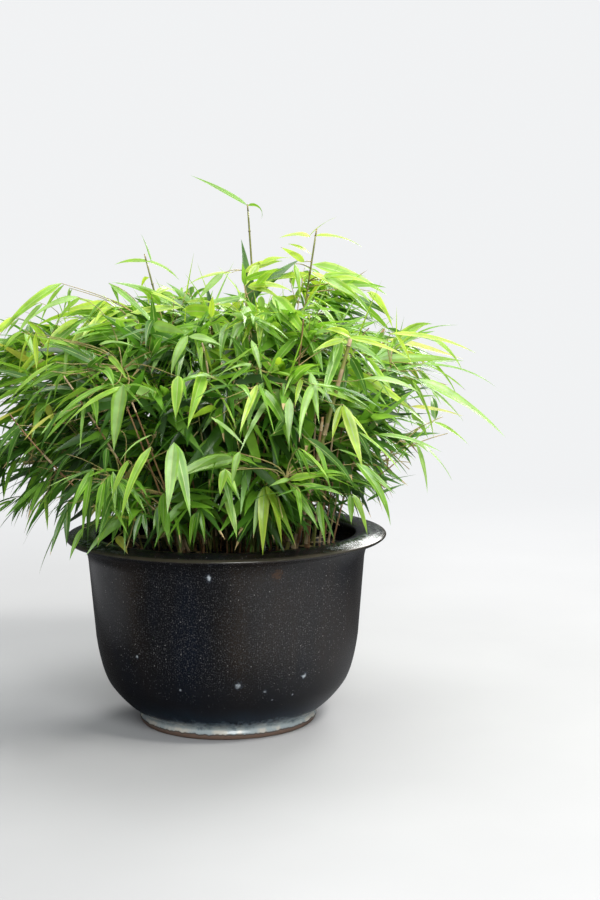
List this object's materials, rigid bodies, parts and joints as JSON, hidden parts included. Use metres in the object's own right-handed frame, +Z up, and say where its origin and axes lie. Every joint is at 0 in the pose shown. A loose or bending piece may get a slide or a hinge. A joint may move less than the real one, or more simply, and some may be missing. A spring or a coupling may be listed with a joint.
{
  "type": "potted bamboo",
  "caption": "Clump of arching bamboo with fans of long pointed leaves, in a round glazed pot with a raised foot and a broad rim.",
  "frame": {"origin": "centre of the flat underside of the pot's foot, on the ground", "axes": "+Z up along the pot's axis, -Y towards the side that the picture shows, +X to the right in it"},
  "size_m": [0.6385, 0.6334, 0.6807],
  "materials": {
    "glaze": "gloss",
    "soil": "matte",
    "canes": "satin",
    "leaves": "satin"
  },
  "bodies": {
    "root": {"cane_inner_1": "canes", "cane_inner_2": "canes", "cane_inner_3": "canes", "cane_shoot_1": "canes", "cane_shoot_2": "canes", "cane_shoot_3": "canes", "cane_shoulder_1": "canes", "cane_shoulder_2": "canes", "cane_shoulder_3": "canes", "cane_shoulder_4": "canes", "cane_shoulder_5": "canes", "cane_shoulder_6": "canes", "cane_shoulder_7": "canes", "cane_skirt_1": "canes", "cane_skirt_2": "canes", "cane_skirt_3": "canes", "cane_skirt_4": "canes", "cane_skirt_5": "canes", "cane_skirt_6": "canes", "cane_skirt_7": "canes", "cane_skirt_8": "canes", "cane_top_1": "canes", "cane_top_2": "canes", "cane_top_3": "canes", "cane_top_4": "canes", "leaves_inner_1": "leaves", "leaves_inner_2": "leaves", "leaves_inner_3": "leaves", "leaves_shoot_1": "leaves", "leaves_shoulder_1": "leaves", "leaves_shoulder_2": "leaves", "leaves_shoulder_3": "leaves", "leaves_shoulder_4": "leaves", "leaves_shoulder_5": "leaves", "leaves_shoulder_6": "leaves", "leaves_shoulder_7": "leaves", "leaves_skirt_1": "leaves", "leaves_skirt_2": "leaves", "leaves_skirt_3": "leaves", "leaves_skirt_4": "leaves", "leaves_skirt_5": "leaves", "leaves_skirt_6": "leaves", "leaves_skirt_7": "leaves", "leaves_skirt_8": "leaves", "leaves_top_1": "leaves", "leaves_top_2": "leaves", "leaves_top_3": "leaves", "leaves_top_4": "leaves", "pot": "glaze", "soil": "soil"}
  },
  "joints": []
}
